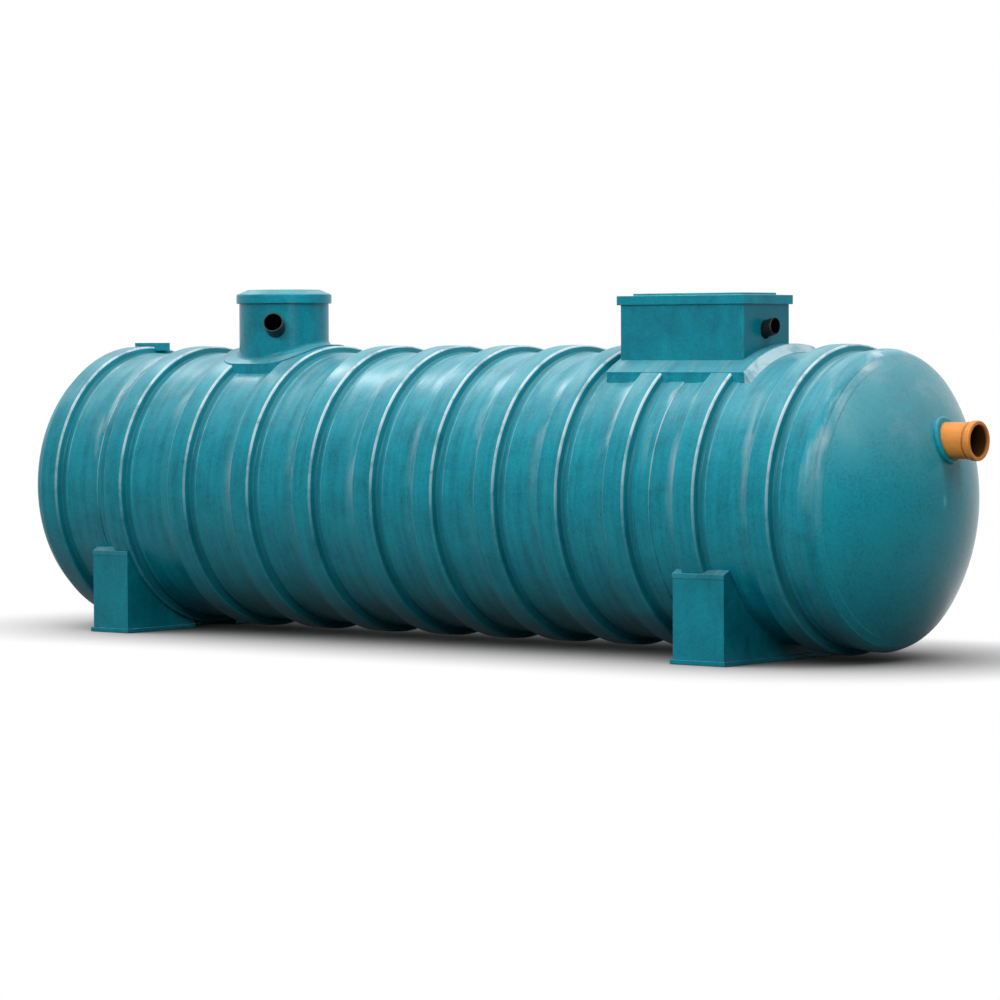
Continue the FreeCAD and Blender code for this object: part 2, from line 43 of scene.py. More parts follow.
import bmesh
import bpy
from bpy.props import FloatProperty, FloatVectorProperty, IntProperty, PointerProperty
from bpy.types import Operator, Panel, PropertyGroup
from mathutils import Matrix, Vector, noise

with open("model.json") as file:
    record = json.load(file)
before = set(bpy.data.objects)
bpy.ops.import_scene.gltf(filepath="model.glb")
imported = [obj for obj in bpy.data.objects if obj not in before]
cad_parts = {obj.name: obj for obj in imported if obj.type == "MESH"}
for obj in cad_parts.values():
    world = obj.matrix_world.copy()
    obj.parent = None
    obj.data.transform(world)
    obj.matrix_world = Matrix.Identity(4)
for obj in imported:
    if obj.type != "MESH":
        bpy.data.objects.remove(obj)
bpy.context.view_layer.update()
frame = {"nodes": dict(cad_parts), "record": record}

NODES = frame["nodes"]
RECORD = frame["record"]
SLOT_OF = {row["node"]: row["material_slot"] for row in RECORD["subparts"]}
OPENINGS = {row["name"]: row["box_m"] for row in RECORD["physics"]["openings"]}
RIBS = sorted(name for name in NODES if name.startswith("hoop_rib_"))

# The barrel and its ribs, read from the solids
BARREL_LOW, BARREL_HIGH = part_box("barrel_course_3")
BARREL_R = BARREL_HIGH.y
AXIS_Z = (BARREL_LOW.z + BARREL_HIGH.z) / 2
RIB_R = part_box("hoop_rib_06")[1].y
RIB_SPANS = [(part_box(name)[0].x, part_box(name)[1].x) for name in RIBS]

# The inlet end: a knuckle that turns into a shallow crown
INLET_SKIRT_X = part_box("inlet_end_dome")[0].x
INLET_APEX_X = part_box("inlet_end_dome")[1].x
DOME_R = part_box("inlet_end_dome")[1].y
CROWN_RADIUS = 1.130
KNUCKLE_RADIUS = 0.076
CROWN_HALF_ANGLE = math.asin((DOME_R - KNUCKLE_RADIUS) / (CROWN_RADIUS - KNUCKLE_RADIUS))
DOME_DEPTH = CROWN_RADIUS - (CROWN_RADIUS - KNUCKLE_RADIUS) * math.cos(CROWN_HALF_ANGLE)
INLET_TANGENT_X = INLET_APEX_X - DOME_DEPTH
KNUCKLE_ARC = KNUCKLE_RADIUS * (math.pi / 2 - CROWN_HALF_ANGLE)

SIDEBAR = "Water Tank"


class TankSizes(PropertyGroup):
    """Sizes of the laminate work that the solids leave plain."""

    skin_lift: FloatProperty(
        name="Skin lift",
        description="How far the outer laminate stands off the shell between ribs",
        default=0.0014,
        min=0.0008,
        max=0.004,
        unit="LENGTH",
    )
    hoop_ripple: FloatProperty(
        name="Hoop ripple",
        description="Height of the shallow ripples that the winding leaves round the barrel",
        default=0.0005,
        min=0.0,
        max=0.002,
        unit="LENGTH",
    )
    cove_reach: FloatProperty(
        name="Cove reach",
        description="How far the resin cove runs out from the foot of a rib",
        default=0.010,
        min=0.004,
        max=0.04,
        unit="LENGTH",
    )
    cove_rise: FloatProperty(
        name="Cove rise",
        description="How far the resin cove climbs a rib's flank",
        default=0.009,
        min=0.003,
        max=0.03,
        unit="LENGTH",
    )
    foot_lap_width: FloatProperty(
        name="Foot lap width",
        description="Width of the laminate lap that ties a rib's right foot to the barrel",
        default=0.036,
        min=0.015,
        max=0.08,
        unit="LENGTH",
    )
    foot_lap_height: FloatProperty(
        name="Foot lap height",
        description="Thickness of the laminate lap at a rib's right foot",
        default=0.0025,
        min=0.0005,
        max=0.006,
        unit="LENGTH",
    )
    bay_rise: FloatProperty(
        name="Bay rise",
        description="How far the laminate sweeps up where a bay meets the next rib",
        default=0.013,
        min=0.0,
        max=0.03,
        unit="LENGTH",
    )
    bay_rise_reach: FloatProperty(
        name="Bay rise reach",
        description="Length of the sweep where a bay meets the next rib",
        default=0.100,
        min=0.03,
        max=0.15,
        unit="LENGTH",
    )
    rib_flank_run: FloatProperty(
        name="Flank run",
        description="How far a rib's flank leans in from its foot to its crown",
        default=0.015,
        min=0.004,
        max=0.04,
        unit="LENGTH",
    )
    rib_edge: FloatProperty(
        name="Rib edge",
        description="Rounding along the crown edges of a rib",
        default=0.008,
        min=0.003,
        max=0.02,
        unit="LENGTH",
    )
    rib_camber: FloatProperty(
        name="Rib camber",
        description="How much lower a rib's crown is at its edges than at its middle",
        default=0.0016,
        min=0.0,
        max=0.006,
        unit="LENGTH",
    )
    round_steps: IntProperty(
        name="Steps round",
        description="Number of faces round the barrel",
        default=240,
        min=48,
        max=480,
    )
    trim_edge: FloatProperty(
        name="Trim edge",
        description="Rounding along the edges of pads, lids, boss and saddles",
        default=0.004,
        min=0.001,
        max=0.01,
        unit="LENGTH",
    )
    lap_edge_height: FloatProperty(
        name="Lap edge height",
        description="Thickness of each laminate lap that shows round the inlet end",
        default=0.0022,
        min=0.0005,
        max=0.006,
        unit="LENGTH",
    )
    outer_lap_reach: FloatProperty(
        name="Outer lap reach",
        description="How far the outer lap runs over the inlet end's knuckle",
        default=0.060,
        min=0.02,
        max=0.15,
        unit="LENGTH",
    )
    inner_lap_reach: FloatProperty(
        name="Inner lap reach",
        description="How far the lap beneath it runs over the inlet end",
        default=0.105,
        min=0.03,
        max=0.25,
        unit="LENGTH",
    )


class TankFinish(PropertyGroup):
    """Colours and gloss of the tank's finishes."""

    laminate: FloatVectorProperty(
        name="Laminate",
        description="Teal of the gel coat",
        subtype="COLOR",
        size=3,
        min=0.0,
        max=1.0,
        default=(0.003, 0.285, 0.375),
    )
    laminate_deep: FloatVectorProperty(
        name="Laminate, thin spots",
        description="Darker teal where the gel coat is thin",
        subtype="COLOR",
        size=3,
        min=0.0,
        max=1.0,
        default=(0.001, 0.185, 0.250),
    )
    laminate_pale: FloatVectorProperty(
        name="Laminate, thick spots",
        description="Paler teal where resin has pooled",
        subtype="COLOR",
        size=3,
        min=0.0,
        max=1.0,
        default=(0.010, 0.360, 0.460),
    )
    # Colour of the painted shade in rib flanks, coves, lap edges, gaps and corners.
    laminate_painted_shade: FloatVectorProperty(
        name="Laminate, shaded corners",
        description="Dark teal of the dirt held in flanks and corners",
        subtype="COLOR",
        size=3,
        min=0.0,
        max=1.0,
        default=(0.002, 0.120, 0.150),
    )
    # Colour of dust and scuffs, also of the painted sheen on upward faces and the painted highlights.
    chalk_and_highlight: FloatVectorProperty(
        name="Chalk",
        description="Pale bloom on upward faces and worn edges",
        subtype="COLOR",
        size=3,
        min=0.0,
        max=1.0,
        default=(0.72, 0.86, 0.89),
    )
    laminate_roughness: FloatProperty(
        name="Laminate roughness",
        description="Roughness of the gel coat",
        subtype="FACTOR",
        default=0.30,
        min=0.05,
        max=1.0,
    )
    pipe_orange: FloatVectorProperty(
        name="Orange pipe",
        description="Colour of the inlet socket",
        subtype="COLOR",
        size=3,
        min=0.0,
        max=1.0,
        default=(0.90, 0.32, 0.050),
    )
    pipe_black: FloatVectorProperty(
        name="Black pipe",
        description="Colour of the turret spigots",
        subtype="COLOR",
        size=3,
        min=0.0,
        max=1.0,
        default=(0.008, 0.008, 0.009),
    )


class TankStage(PropertyGroup):
    """Floor, light and view."""

    floor_colour: FloatVectorProperty(
        name="Floor",
        description="Colour that the floor shows away from the tank",
        subtype="COLOR",
        size=3,
        min=0.0,
        max=1.0,
        default=(1.0, 1.0, 1.0),
    )
    shadow_reach: FloatProperty(
        name="Shadow reach",
        description="How far the tank's soft shadow spreads over the floor",
        default=1.05,
        min=0.1,
        max=6.0,
        unit="LENGTH",
    )
    lens: FloatProperty(
        name="Lens",
        description="Focal length of the view",
        default=149.563,
        min=20.0,
        max=400.0,
        unit="CAMERA",
    )


class NodeBench:
    """Short hands for wiring the nodes of a material or of the world."""

    def __init__(self, owner):
        self.owner = owner
        owner.use_nodes = True
        self.tree = owner.node_tree
        self.tree.nodes.clear()

    def node(self, kind, **values):
        made = self.tree.nodes.new(kind)
        for key, value in values.items():
            setattr(made, key, value)
        return made

    def feed(self, socket, value):
        """Link a socket, or set it where the value is plain."""
        if isinstance(value, bpy.types.NodeSocket):
            self.tree.links.new(value, socket)
        else:
            socket.default_value = value

    def maths(self, operation, *values, clamp=False):
        made = self.node("ShaderNodeMath", operation=operation, use_clamp=clamp)
        for socket, value in zip(made.inputs, values):
            self.feed(socket, value)
        return made.outputs[0]

    def stretch(self, vector, scale):
        made = self.node("ShaderNodeVectorMath", operation="MULTIPLY")
        self.feed(made.inputs[0], vector)
        made.inputs[1].default_value = scale
        return made.outputs[0]

    def cloud(self, vector, scale, detail=3.0, roughness=0.55, warp=0.0):
        made = self.node("ShaderNodeTexNoise")
        self.feed(made.inputs["Vector"], vector)
        made.inputs["Scale"].default_value = scale
        made.inputs["Detail"].default_value = detail
        made.inputs["Roughness"].default_value = roughness
        made.inputs["Distortion"].default_value = warp
        return made.outputs["Fac"]

    def span(self, value, low, high, to_low=0.0, to_high=1.0):
        made = self.node("ShaderNodeMapRange", interpolation_type="SMOOTHSTEP")
        self.feed(made.inputs["Value"], value)
        made.inputs["From Min"].default_value = low
        made.inputs["From Max"].default_value = high
        made.inputs["To Min"].default_value = to_low
        made.inputs["To Max"].default_value = to_high
        return made.outputs["Result"]

    def blend(self, factor, first, second):
        made = self.node("ShaderNodeMix", data_type="RGBA")
        self.feed(made.inputs[0], factor)
        self.feed(made.inputs[6], first)
        self.feed(made.inputs[7], second)
        return made.outputs[2]

    def bump(self, height, strength, distance, under=None):
        made = self.node("ShaderNodeBump")
        made.inputs["Strength"].default_value = strength
        made.inputs["Distance"].default_value = distance
        self.feed(made.inputs["Height"], height)
        if under is not None:
            self.feed(made.inputs["Normal"], under)
        return made.outputs["Normal"]

    def surface(self, shader):
        out = self.node("ShaderNodeOutputMaterial")
        self.tree.links.new(shader.outputs[0], out.inputs["Surface"])
        return self.owner

    def mark(self, name):
        """Share of a mark that a mesh carries at its points."""
        return self.node("ShaderNodeAttribute", attribute_name=name).outputs["Fac"]


# The gel coat's looks, as shares of each detail
MOTTLE_SHARE = 0.6
THIN_STOP, MIDDLE_STOP, THICK_STOP = 0.26, 0.5, 0.76
WOUND_LAY, FLAT_LAY, BLOTCH_LAY = (24.0, 1.6, 1.0), (16.0, 16.0, 3.5), (9.0, 2.2, 4.0)
WOUND_FACING, SPRAYED_FACING = (0.25, 0.98), (0.0, 0.60)
# Dust with a painted sheen on upward faces.
WOUND_DUST_AND_SHEEN, SPRAYED_DUST_AND_SHEEN, PATCHY_DUST_AND_SHEEN = 0.10, 0.17, 0.16
WOUND_SHINE, SPRAYED_SHINE = 0.08, 0.15
WOUND_SHEEN, SPRAYED_SHEEN, PIPE_SHEEN = 0.18, 0.13, 0.35
# Edge scuffs, with a painted highlight that grows towards the top of the tank.
HIGHLIGHT_SCUFF_BY_HEIGHT, LEAST_SCUFF = 0.80, 0.05
# Height band, about the axis, over which the painted highlights grow.
HIGHLIGHT_BELOW_AXIS, HIGHLIGHT_ABOVE_AXIS = 0.30, 0.55
# Near-black painted shade inside pipe bores.
BORE_PAINTED_SHADE = (0.006, 0.005, 0.004, 1.0)


def full(colour):
    """A colour with its opaque fourth value."""
    return (colour[0], colour[1], colour[2], 1.0)


def hoop_place(bench, place):
    """Coordinates that run along the barrel and round it, in metres."""
    parts = bench.node("ShaderNodeSeparateXYZ")
    bench.feed(parts.inputs[0], place)
    height = bench.maths("SUBTRACT", parts.outputs["Z"], AXIS_Z)
    turn = bench.maths("ARCTAN2", parts.outputs["Y"], height)
    round_way = bench.maths("MULTIPLY", turn, BARREL_R)
    joined = bench.node("ShaderNodeCombineXYZ")
    bench.feed(joined.inputs["X"], parts.outputs["X"])
    bench.feed(joined.inputs["Y"], round_way)
    return joined.outputs[0]


def teal_ramp(bench, tone, finish):
    """Teal that runs from thin spots of gel coat to thick ones."""
    ramp = bench.node("ShaderNodeValToRGB")
    stops = ramp.color_ramp.elements
    stops[0].position = THIN_STOP
    stops[0].color = full(finish.laminate_deep)
    stops[1].position = THICK_STOP
    stops[1].color = full(finish.laminate_pale)
    stops.new(MIDDLE_STOP).color = full(finish.laminate)
    bench.feed(ramp.inputs["Fac"], tone)
    return ramp.outputs["Color"]


def dust_sheen_and_highlight_shares(bench, place, grain, mottle, sprayed):
    """Shares of dust with a painted sheen on upward faces and of painted highlight patches, and of edge
    scuffs with a painted highlight that grows towards the top.
    """
    facing = bench.node("ShaderNodeSeparateXYZ")
    bench.feed(facing.inputs[0], bench.node("ShaderNodeNewGeometry").outputs["Normal"])
    spot = bench.node("ShaderNodeSeparateXYZ")
    bench.feed(spot.inputs[0], place)
    steep, level = SPRAYED_FACING if sprayed else WOUND_FACING
    upward = bench.span(facing.outputs["Z"], steep, level)
    highlight_by_height = bench.span(spot.outputs["Z"], AXIS_Z - HIGHLIGHT_BELOW_AXIS, AXIS_Z + HIGHLIGHT_ABOVE_AXIS)
    blotch = bench.cloud(bench.stretch(grain, BLOTCH_LAY), 1.0, detail=5.0, warp=0.6)
    patches = bench.span(blotch, 0.46, 0.72)
    even = SPRAYED_DUST_AND_SHEEN if sprayed else WOUND_DUST_AND_SHEEN
    dust_and_sheen = bench.maths("MULTIPLY", upward, bench.maths("MULTIPLY_ADD", patches, PATCHY_DUST_AND_SHEEN, even))
    # Painted highlight patches on marked rows, stronger towards the top.
    pooled = bench.maths("MULTIPLY", bench.mark("painted_highlight"), bench.maths("MULTIPLY", patches, highlight_by_height))
    dust_and_sheen = bench.maths("ADD", pooled, dust_and_sheen)
    # Scuffing rises with height as a painted highlight.
    scuff_and_highlight_by_height = bench.maths("MULTIPLY_ADD", highlight_by_height, HIGHLIGHT_SCUFF_BY_HEIGHT, LEAST_SCUFF)
    scuff_and_highlight = bench.maths("MULTIPLY", bench.mark("wear_and_highlight"), scuff_and_highlight_by_height)
    scuff_and_highlight = bench.maths("MULTIPLY", scuff_and_highlight, bench.span(mottle, 0.34, 0.56, 0.40, 1.0))
    return dust_and_sheen, scuff_and_highlight


def gel_coat(name, streaks, speckle, shift=0.0, flat=False, sprayed=False):
    """Teal gel coat: brushed streaks, mottle, fine speckle, dust with a painted sheen on upward faces,
    edge scuffs with a painted highlight that grows towards the top, painted highlight patches, and painted
    shade in flanks and corners.
    """
    known = bpy.data.materials.get(name)
    if known:
        return known
    finish = bpy.context.scene.tank_finish
    bench = NodeBench(bpy.data.materials.new(name))
    place = bench.node("ShaderNodeTexCoord").outputs["Object"]
    grain = place if flat else hoop_place(bench, place)
    lay = FLAT_LAY if flat else WOUND_LAY
    streak = bench.cloud(bench.stretch(grain, lay), 1.0, detail=4.0, roughness=0.6)
    mottle = bench.cloud(place, 6.5, detail=5.0, roughness=0.62, warp=0.4)
    grit = bench.cloud(place, 70.0, detail=3.0, roughness=0.7)
    tone = bench.maths("MULTIPLY_ADD", streak, streaks, 0.5 + shift - 0.5 * streaks)
    tone = bench.maths("ADD", tone, bench.maths("MULTIPLY_ADD", mottle, MOTTLE_SHARE, -0.5 * MOTTLE_SHARE))
    tone = bench.maths("ADD", tone, bench.maths("MULTIPLY_ADD", grit, speckle, -0.5 * speckle))
    dust_and_sheen, scuff_and_highlight = dust_sheen_and_highlight_shares(bench, place, grain, mottle, sprayed)
    colour = bench.blend(dust_and_sheen, teal_ramp(bench, tone, finish), full(finish.chalk_and_highlight))
    # Painted shade: marked rows darken towards this colour.
    colour = bench.blend(bench.mark("painted_shade_share"), colour, full(finish.laminate_painted_shade))
    colour = bench.blend(scuff_and_highlight, colour, full(finish.chalk_and_highlight))
    gloss = finish.laminate_roughness - (SPRAYED_SHINE if sprayed else WOUND_SHINE)
    rough = bench.maths("MULTIPLY_ADD", mottle, 0.16, gloss)
    rough = bench.maths("ADD", rough, bench.maths("MULTIPLY", dust_and_sheen, 0.2))
    wave = bench.bump(mottle, 0.28, 0.006)
    shader = bench.node("ShaderNodeBsdfPrincipled")
    bench.feed(shader.inputs["Base Color"], colour)
    bench.feed(shader.inputs["Roughness"], rough)
    shader.inputs["Specular IOR Level"].default_value = SPRAYED_SHEEN if sprayed else WOUND_SHEEN
    bench.feed(shader.inputs["Normal"], bench.bump(grit, 0.25, 0.0012, wave))
    return bench.surface(shader)


def pipe_plastic(name, colour, roughness, dust):
    """Extruded pipe plastic with faint draw lines, scuffs, dust and painted shade in its bore and
    recesses.
    """
    known = bpy.data.materials.get(name)
    if known:
        return known
    bench = NodeBench(bpy.data.materials.new(name))
    place = bench.node("ShaderNodeTexCoord").outputs["Object"]
    drawn = bench.cloud(bench.stretch(place, (6.0, 160.0, 160.0)), 1.0, detail=3.0)
    scuffs = bench.cloud(place, 55.0, detail=5.0, roughness=0.7, warp=0.8)
    darker = [0.88 * part for part in colour]
    paler = [min(1.0, 1.22 * part + dust) for part in colour]
    tone = bench.blend(bench.span(drawn, 0.35, 0.65), full(darker), full(colour))
    tone = bench.blend(bench.span(scuffs, 0.52, 0.78), tone, full(paler))
    # Painted shade: marked rows go near black, in bores and recesses.
    tone = bench.blend(bench.mark("painted_shade_share"), tone, BORE_PAINTED_SHADE)
    shader = bench.node("ShaderNodeBsdfPrincipled")
    bench.feed(shader.inputs["Base Color"], tone)
    bench.feed(shader.inputs["Roughness"], bench.maths("MULTIPLY_ADD", scuffs, 0.25, roughness - 0.12))
    shader.inputs["Specular IOR Level"].default_value = PIPE_SHEEN
    bench.feed(shader.inputs["Normal"], bench.bump(scuffs, 0.15, 0.001))
    return bench.surface(shader)


def coat_for(part):
    """The finish that a part of the tank takes."""
    finish = bpy.context.scene.tank_finish
    if SLOT_OF.get(part) == "orange_pipe":
        return pipe_plastic("drawn_orange_plastic", list(finish.pipe_orange), 0.42, 0.02)
    if SLOT_OF.get(part) == "black_pipe":
        return pipe_plastic("drawn_black_plastic", list(finish.pipe_black), 0.38, 0.01)
    # The ends take a lighter copy of the gel coat: painted light.
    if part.startswith(("far_end", "inlet_end")):
        return gel_coat("gel_coat_sprayed_painted_light", 0.25, 1.3, shift=0.20, sprayed=True)
    # The box's end wall takes a much darker copy of the flat coat: painted shade on that face.
    if part == "box_turret_end_wall":
        return gel_coat("gel_coat_end_wall_painted_shade", 0.25, 0.45, shift=-0.40, flat=True)
    if part.endswith("_lid"):
        return gel_coat("gel_coat_lid", 0.25, 0.45, flat=True)
    if part.startswith(("far_saddle", "inlet_saddle", "box_turret", "round_turret")) and "pad" not in part:
        return gel_coat("gel_coat_flat", 0.25, 0.45, shift=-0.09, flat=True)
    return gel_coat("gel_coat_wound", 0.75, 0.60)


def paint(piece, material):
    """Give a piece or a solid one finish all over."""
    if piece.material_slots:
        for slot in piece.material_slots:
            slot.link = "OBJECT"
            slot.material = material
    else:
        piece.data.materials.append(material)


def dress(*names):
    """Finish solids whose own shape is right."""
    for name in names:
        paint(NODES[name], coat_for(name))


def place_piece(name, mesh, finish_part, stands_for=()):
    """Put a new piece on the tank, with the finish of a part and the solids that it stands for."""
    piece = bpy.data.objects.new(name, mesh)
    bpy.context.scene.collection.objects.link(piece)
    paint(piece, coat_for(finish_part))
    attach(piece, "root")
    if stands_for:
        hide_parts(*stands_for)
    return piece


def marked(mesh, marks, steps=1):
    """Give a mesh its marks, each a list of shares repeated round every step of a row."""
    for name, shares in marks.items():
        layer = mesh.attributes.new(name, "FLOAT", "POINT")
        layer.data.foreach_set("value", [share for share in shares for step in range(steps)])


def split_rows(rows):
    """Profile and marks of a list of rows, each a point with its marks."""
    profile = [row[0] for row in rows]
    marks = {name: [row[1].get(name, 0.0) for row in rows] for name in ("wear_and_highlight", "painted_shade_share", "painted_highlight")}
    return profile, marks


def smooth_mesh(name, points, faces):
    """Mesh of points and faces with smooth shading."""
    mesh = bpy.data.meshes.new(name)
    mesh.from_pydata(points, [], faces)
    mesh.update()
    mesh.shade_smooth()
    return mesh


def ring_faces(rows, steps, closed):
    """Faces between rings of points, each ring with as many points as there are steps."""
    faces = []
    for row in range(rows if closed else rows - 1):
        here, there = row * steps, (row + 1) % rows * steps
        for step in range(steps):
            beside = (step + 1) % steps
            faces.append((here + step, here + beside, there + beside, there + step))
    return faces


def centre_of(points, corners):
    """Middle of a face with four corners."""
    return [sum(points[corner][axis] for corner in corners) / 4 for axis in range(3)]


def turned(name, profile, steps, closed, relief=None, marks=None, skip=None, middle=(0.0, AXIS_Z)):
    """Mesh of (x, radius) pairs turned about an axis along X, with a relief added to each radius."""
    points = []
    for x, radius in profile:
        for step in range(steps):
            angle = 2 * math.pi * step / steps
            reach = radius + (relief(x, radius, angle) if relief else 0.0)
            points.append((x, middle[0] + reach * math.cos(angle), middle[1] + reach * math.sin(angle)))
    faces = ring_faces(len(profile), steps, closed)
    if skip:
        faces = [corners for corners in faces if not skip(centre_of(points, corners))]
    mesh = smooth_mesh(name, points, faces)
    marked(mesh, marks or {}, steps)
    return mesh


def in_access_opening(point):
    """Whether a point lies over one of the two access openings in the crown."""
    for name in ("round_access_shaft", "box_access_shaft"):
        low, high = OPENINGS[name]
        inside = low[0] < point[0] < high[0] and low[1] < point[1] < high[1]
        if inside and point[2] > AXIS_Z:
            return True
    return False


def hoop_noise(x, angle, along, around):
    """Smooth noise that closes on itself round the barrel."""
    return noise.noise(Vector((x * along, math.cos(angle) * around, math.sin(angle) * around)))


def curve_through(start, corner, end, steps):
    """Points of a cove from start to end that turns at a corner."""
    points = []
    for step in range(steps + 1):
        t = step / steps
        a, b, c = (1 - t) ** 2, 2 * t * (1 - t), t * t
        x = a * start[0] + b * corner[0] + c * end[0]
        points.append((x, a * start[1] + b * corner[1] + c * end[1]))
    return points


def even_out(piece):
    """Keep broad faces flat beside narrow rounded ones."""
    keep = piece.modifiers.new("flat faces", "WEIGHTED_NORMAL")
    keep.keep_sharp = False
    keep.weight = 80


def rounded_copy(name, source, radius, wear_and_highlight_share=0.0):
    """Piece with the shape of a solid, its sharp edges rounded."""
    weld, flat_angle, sharp_angle = 0.00002, math.radians(0.6), math.radians(35.0)
    bm = bmesh.new()
    bm.from_mesh(NODES[source].data)
    bmesh.ops.remove_doubles(bm, verts=bm.verts, dist=weld)
    bmesh.ops.dissolve_limit(bm, angle_limit=flat_angle, verts=bm.verts, edges=bm.edges)
    edges = [edge for edge in bm.edges
             if len(edge.link_faces) == 2 and edge.calc_face_angle(0.0) > sharp_angle]
    made = bmesh.ops.bevel(bm, geom=edges, offset=radius, offset_type="OFFSET", segments=3, profile=0.5,
                           affect="EDGES", clamp_overlap=True, miter_outer="ARC")
    # Rounded faces carry the given share of wear with a painted highlight.
    wear_and_highlight = bm.verts.layers.float.new("wear_and_highlight")
    for face in made["faces"]:
        for vert in face.verts:
            vert[wear_and_highlight] = wear_and_highlight_share
    bmesh.ops.triangulate(bm, faces=[face for face in bm.faces if len(face.verts) > 4])
    mesh = bpy.data.meshes.new(name)
    bm.to_mesh(mesh)
    bm.free()
    mesh.shade_smooth()
    even_out(place_piece(name, mesh, source, [source]))


def foot_of_rib(start, sizes):
    """Rows of the cove and the thin lap at a rib's right foot."""
    rise, reach = sizes.cove_rise, sizes.cove_reach
    slope = sizes.rib_flank_run / (RIB_R - BARREL_R)
    base = BARREL_R + sizes.skin_lift
    top = base + sizes.foot_lap_height
    lap_end = start + sizes.foot_lap_width
    tuck, painted_shade_end, nose, chamfer = 0.002, 0.008, 0.0025, 0.0006
    toe, toe_height, runout = 0.0008, 0.0004, 0.0024
    # Painted shade in the cove at the rib's foot, fainter along the lap; wear with a painted highlight on
    # the lap's edge.
    painted_shade, faint_painted_shade, lap_edge_wear_and_highlight = 0.55, 0.15, 0.35
    cove = curve_through((start - rise * slope - tuck, top + rise), (start, top), (start + reach, top), 5)
    rows = [(point, {"painted_shade_share": painted_shade}) for point in cove]
    rows.append(((lap_end - painted_shade_end, top), {"painted_shade_share": faint_painted_shade}))
    rows.append(((lap_end - nose, top), {}))
    rows.append(((lap_end, top - chamfer), {"wear_and_highlight": lap_edge_wear_and_highlight}))
    rows.append(((lap_end + toe, base + toe_height), {"wear_and_highlight": lap_edge_wear_and_highlight}))
    rows.append(((lap_end + runout, base), {}))
    return rows


def dome_point(arc, lift):
    """Place (x, radius) at an arc length from the inlet end's tangent line, lifted off its surface."""
    if arc < KNUCKLE_ARC:
        turn = arc / KNUCKLE_RADIUS
        reach = KNUCKLE_RADIUS + lift
        return (INLET_TANGENT_X + reach * math.sin(turn), DOME_R - KNUCKLE_RADIUS + reach * math.cos(turn))
    turn = CROWN_HALF_ANGLE - (arc - KNUCKLE_ARC) / CROWN_RADIUS
    reach = CROWN_RADIUS + lift
    return (INLET_APEX_X - CROWN_RADIUS + reach * math.cos(turn), reach * math.sin(turn))


def seen_ray(bench):
    """One for rays that show the background: straight to the view, or by gloss or glass."""
    path = bench.node("ShaderNodeLightPath")
    factor = bench.maths("MAXIMUM", path.outputs["Is Camera Ray"], path.outputs["Is Glossy Ray"])
    return bench.maths("MAXIMUM", factor, path.outputs["Is Transmission Ray"])


class TANK_OT_skins(Operator):
    """Lay the outer laminate between the ribs, with a resin cove at each foot"""

    bl_idname = "tank.skins"
    bl_label = "Barrel Skins"

    def execute(self, context):
        sizes = context.scene.tank_sizes
        dress(*(name for name in NODES if name.startswith("barrel_course_")))
        starts = [span[1] for span in RIB_SPANS[:-1]]
        ends = [span[0] for span in RIB_SPANS[1:]]
        for number, (start, end) in enumerate(zip(starts, ends), start=1):
            mesh = self.bay(f"bay_skin_{number:02d}", start, end, number > 1, sizes)
            place_piece(mesh.name, mesh, "barrel_course_3")
        return {"FINISHED"}

    def bay(self, name, start, end, swept, sizes):
        """Skin from one rib's right foot to the next rib, swept up to it or meeting it squarely."""
        plain_steps, sweep_steps = 22, 14
        square_reach, square_rise, square_end_painted_shade = 0.012, 0.004, 0.7
        tuck = 0.006
        rows = foot_of_rib(start, sizes)
        base = BARREL_R + sizes.skin_lift
        first = rows[-1][0][0]
        reach = sizes.bay_rise_reach if swept else square_reach
        rise = sizes.bay_rise if swept else square_rise
        run = end - reach - first
        for step in range(1, plain_steps + 1):
            rows.append(((first + run * step / plain_steps, base), {}))
        for step in range(1, sweep_steps + 1):
            t = step / sweep_steps
            # A swept end carries a painted highlight growing towards the next rib; a square end carries
            # painted shade.
            mark = {"painted_highlight": t * t} if swept else {"painted_shade_share": square_end_painted_shade}
            rows.append(((end - reach + (reach + tuck) * t, base + rise * t * t), mark))
        profile, marks = split_rows(rows)

        def relief(x, radius, angle):
            broad = hoop_noise(x, angle, 14.0, 1.3)
            narrow = hoop_noise(x, angle, 47.0, 2.1)
            return sizes.hoop_ripple * (broad + 0.5 * narrow)

        return turned(name, profile, sizes.round_steps, False, relief, marks, in_access_opening)


